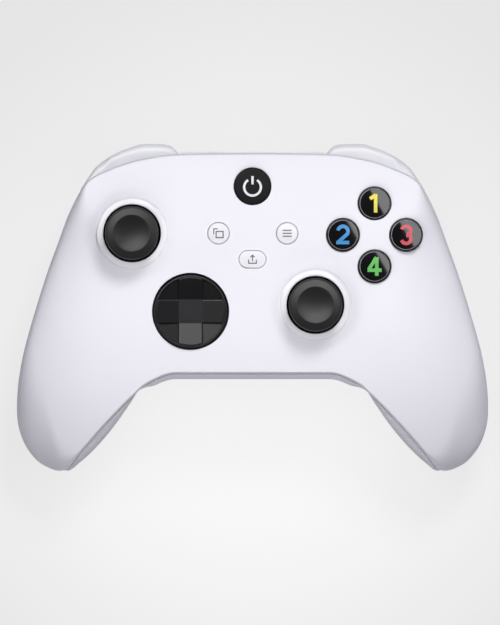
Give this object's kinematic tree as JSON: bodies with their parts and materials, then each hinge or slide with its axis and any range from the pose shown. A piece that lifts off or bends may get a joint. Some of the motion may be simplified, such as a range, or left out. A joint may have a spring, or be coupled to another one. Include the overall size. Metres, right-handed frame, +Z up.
{
  "type": "gamepad controller",
  "caption": "Two-grip wireless gamepad with tilting thumbsticks, a rocking direction pad, push buttons, bumpers and pivoting triggers in a two-shell case.",
  "frame": {"origin": "on the table, under the middle of the pad lying on its back", "axes": "+X to the player's right, +Y towards the bumpers, +Z up out of the face"},
  "size_m": [0.153, 0.1062, 0.0585],
  "materials": {
    "shell_white": "satin moulded",
    "grip_white": "fine dot texture",
    "trim_white": "smooth",
    "key_black": "high gloss",
    "guide_black": "satin",
    "stick_black": "matt",
    "chassis_black": "moulded",
    "board_green": "solder mask",
    "silicone_grey": "soft",
    "steel": "brushed",
    "motor_case": "drawn",
    "cell_case": "sleeved",
    "contact_brass": "plated"
  },
  "bodies": {
    "root": {"front_shell": "shell_white", "rear_shell": "shell_white", "left_grip_panel": "grip_white", "right_grip_panel": "grip_white", "top_bridge": "trim_white", "mid_frame": "chassis_black", "case_screws": "steel", "main_board": "board_green", "button_membrane": "silicone_grey", "dpad_base": "chassis_black", "battery_cells": "cell_case", "battery_contacts": "contact_brass", "usb_port": "steel", "headset_jack": "chassis_black", "expansion_port": "chassis_black", "left_stick_ring": "trim_white", "left_stick_base": "steel", "left_trigger_pin": "steel", "left_rumble_motor": "motor_case", "left_trigger_motor": "motor_case", "right_stick_ring": "trim_white", "right_stick_base": "steel", "right_trigger_pin": "steel", "right_rumble_motor": "motor_case", "right_trigger_motor": "motor_case"},
    "battery_door": {"battery_door": "shell_white"},
    "left_yoke": {"left_stick_yoke": "chassis_black"},
    "left_shaft": {"left_stick_shaft": "chassis_black"},
    "left_cap": {"left_stick_cap": "stick_black"},
    "left_rocker": {"left_stick_rocker": "chassis_black"},
    "right_yoke": {"right_stick_yoke": "chassis_black"},
    "right_shaft": {"right_stick_shaft": "chassis_black"},
    "right_cap": {"right_stick_cap": "stick_black"},
    "right_rocker": {"right_stick_rocker": "chassis_black"},
    "dpad_plate": {"dpad_plate": "steel"},
    "dpad": {"dpad": "key_black"},
    "top_face_button": {"top_face_button": "key_black"},
    "left_face_button": {"left_face_button": "key_black"},
    "right_face_button": {"right_face_button": "key_black"},
    "bottom_face_button": {"bottom_face_button": "key_black"},
    "view_button": {"view_button": "trim_white"},
    "menu_button": {"menu_button": "trim_white"},
    "share_button": {"share_button": "trim_white"},
    "guide_button": {"guide_button": "guide_black"},
    "pair_button": {"pair_button": "trim_white"},
    "left_bumper": {"left_bumper": "trim_white"},
    "left_trigger": {"left_trigger": "grip_white"},
    "left_rumble_weight": {"left_rumble_weight": "steel"},
    "left_trigger_weight": {"left_trigger_weight": "steel"},
    "right_bumper": {"right_bumper": "trim_white"},
    "right_trigger": {"right_trigger": "grip_white"},
    "right_rumble_weight": {"right_rumble_weight": "steel"},
    "right_trigger_weight": {"right_trigger_weight": "steel"}
  },
  "joints": [
    {"name": "battery_door_lift", "type": "slide", "parent": "root", "child": "battery_door", "axis": [0, 0, -1], "range_m": [0, 0.02]},
    {"name": "left_stick_up_down", "type": "hinge", "parent": "root", "child": "left_yoke", "pos_m": [-0.0389, 0.0241, 0.0388], "axis": [1, 0, 0], "range_deg": [-15, 15], "stiffness_Nm_per_rad": 0.1},
    {"name": "left_stick_sideways", "type": "hinge", "parent": "left_yoke", "child": "left_shaft", "pos_m": [-0.0389, 0.0241, 0.0388], "axis": [0, 1, 0], "range_deg": [-15, 15], "stiffness_Nm_per_rad": 0.1},
    {"name": "left_stick_click", "type": "slide", "parent": "left_shaft", "child": "left_cap", "axis": [0, 0, -1], "range_m": [0, 0.0005], "stiffness_N_per_m": 3000, "springref_m": -0.0005},
    {"name": "left_stick_rocker_swing", "type": "hinge", "parent": "root", "child": "left_rocker", "pos_m": [-0.0389, 0.0241, 0.0388], "axis": [0, 1, 0], "range_deg": [-16, 16]},
    {"name": "right_stick_up_down", "type": "hinge", "parent": "root", "child": "right_yoke", "pos_m": [0.0203, 0.001, 0.0388], "axis": [1, 0, 0], "range_deg": [-15, 15], "stiffness_Nm_per_rad": 0.1},
    {"name": "right_stick_sideways", "type": "hinge", "parent": "right_yoke", "child": "right_shaft", "pos_m": [0.0203, 0.001, 0.0388], "axis": [0, 1, 0], "range_deg": [-15, 15], "stiffness_Nm_per_rad": 0.1},
    {"name": "right_stick_click", "type": "slide", "parent": "right_shaft", "child": "right_cap", "axis": [0, 0, -1], "range_m": [0, 0.0005], "stiffness_N_per_m": 3000, "springref_m": -0.0005},
    {"name": "right_stick_rocker_swing", "type": "hinge", "parent": "root", "child": "right_rocker", "pos_m": [0.0203, 0.001, 0.0388], "axis": [0, 1, 0], "range_deg": [-16, 16]},
    {"name": "dpad_up_down", "type": "hinge", "parent": "root", "child": "dpad_plate", "pos_m": [-0.02, -0.0011, 0.042], "axis": [1, 0, 0], "range_deg": [-3.5, 3.5], "stiffness_Nm_per_rad": 0.3},
    {"name": "dpad_sideways", "type": "hinge", "parent": "dpad_plate", "child": "dpad", "pos_m": [-0.02, -0.0011, 0.042], "axis": [0, 1, 0], "range_deg": [-3.5, 3.5], "stiffness_Nm_per_rad": 0.3},
    {"name": "top_face_button_press", "type": "slide", "parent": "root", "child": "top_face_button", "axis": [0, 0, -1], "range_m": [0, 0.0016], "stiffness_N_per_m": 400, "springref_m": -0.0005},
    {"name": "left_face_button_press", "type": "slide", "parent": "root", "child": "left_face_button", "axis": [0, 0, -1], "range_m": [0, 0.0016], "stiffness_N_per_m": 400, "springref_m": -0.0005},
    {"name": "right_face_button_press", "type": "slide", "parent": "root", "child": "right_face_button", "axis": [0, 0, -1], "range_m": [0, 0.0016], "stiffness_N_per_m": 400, "springref_m": -0.0005},
    {"name": "bottom_face_button_press", "type": "slide", "parent": "root", "child": "bottom_face_button", "axis": [0, 0, -1], "range_m": [0, 0.0016], "stiffness_N_per_m": 400, "springref_m": -0.0005},
    {"name": "view_button_press", "type": "slide", "parent": "root", "child": "view_button", "axis": [0, 0, -1], "range_m": [0, 0.0008], "stiffness_N_per_m": 800, "springref_m": -0.0005},
    {"name": "menu_button_press", "type": "slide", "parent": "root", "child": "menu_button", "axis": [0, 0, -1], "range_m": [0, 0.0008], "stiffness_N_per_m": 800, "springref_m": -0.0005},
    {"name": "share_button_press", "type": "slide", "parent": "root", "child": "share_button", "axis": [0, 0, -1], "range_m": [0, 0.0008], "stiffness_N_per_m": 800, "springref_m": -0.0005},
    {"name": "guide_button_press", "type": "slide", "parent": "root", "child": "guide_button", "axis": [0, 0, -1], "range_m": [0, 0.0008], "stiffness_N_per_m": 800, "springref_m": -0.0005},
    {"name": "pair_button_press", "type": "slide", "parent": "root", "child": "pair_button", "axis": [0, -1, 0], "range_m": [0, 0.0006], "stiffness_N_per_m": 800, "springref_m": -0.0005},
    {"name": "left_bumper_press", "type": "hinge", "parent": "root", "child": "left_bumper", "pos_m": [-0.026, 0.0415, 0.025], "axis": [0, 0, 1], "range_deg": [0, 2], "stiffness_Nm_per_rad": 1, "springref_deg": -1.15},
    {"name": "left_trigger_pull", "type": "hinge", "parent": "root", "child": "left_trigger", "pos_m": [-0.0294, 0.04, 0.02], "axis": [-1, 0, 0], "range_deg": [0, 16], "stiffness_Nm_per_rad": 0.15, "springref_deg": -8.59},
    {"name": "left_rumble_spin", "type": "hinge", "parent": "root", "child": "left_rumble_weight", "pos_m": [-0.052, -0.022, 0.0172], "axis": [0, 0, 1], "continuous": true},
    {"name": "left_trigger_weight_spin", "type": "hinge", "parent": "root", "child": "left_trigger_weight", "pos_m": [-0.033, 0.029, 0.012], "axis": [1, 0, 0], "continuous": true},
    {"name": "right_bumper_press", "type": "hinge", "parent": "root", "child": "right_bumper", "pos_m": [0.026, 0.0415, 0.025], "axis": [0, 0, -1], "range_deg": [0, 2], "stiffness_Nm_per_rad": 1, "springref_deg": -1.15},
    {"name": "right_trigger_pull", "type": "hinge", "parent": "root", "child": "right_trigger", "pos_m": [0.0294, 0.04, 0.02], "axis": [-1, 0, 0], "range_deg": [0, 16], "stiffness_Nm_per_rad": 0.15, "springref_deg": -8.59},
    {"name": "right_rumble_spin", "type": "hinge", "parent": "root", "child": "right_rumble_weight", "pos_m": [0.052, -0.022, 0.0172], "axis": [0, 0, 1], "continuous": true},
    {"name": "right_trigger_weight_spin", "type": "hinge", "parent": "root", "child": "right_trigger_weight", "pos_m": [0.033, 0.029, 0.012], "axis": [1, 0, 0], "continuous": true}
  ],
  "couplings": [
    {"joint": "left_stick_rocker_swing", "follows": "left_stick_sideways", "ratio": 1},
    {"joint": "right_stick_rocker_swing", "follows": "right_stick_sideways", "ratio": 1}
  ]
}
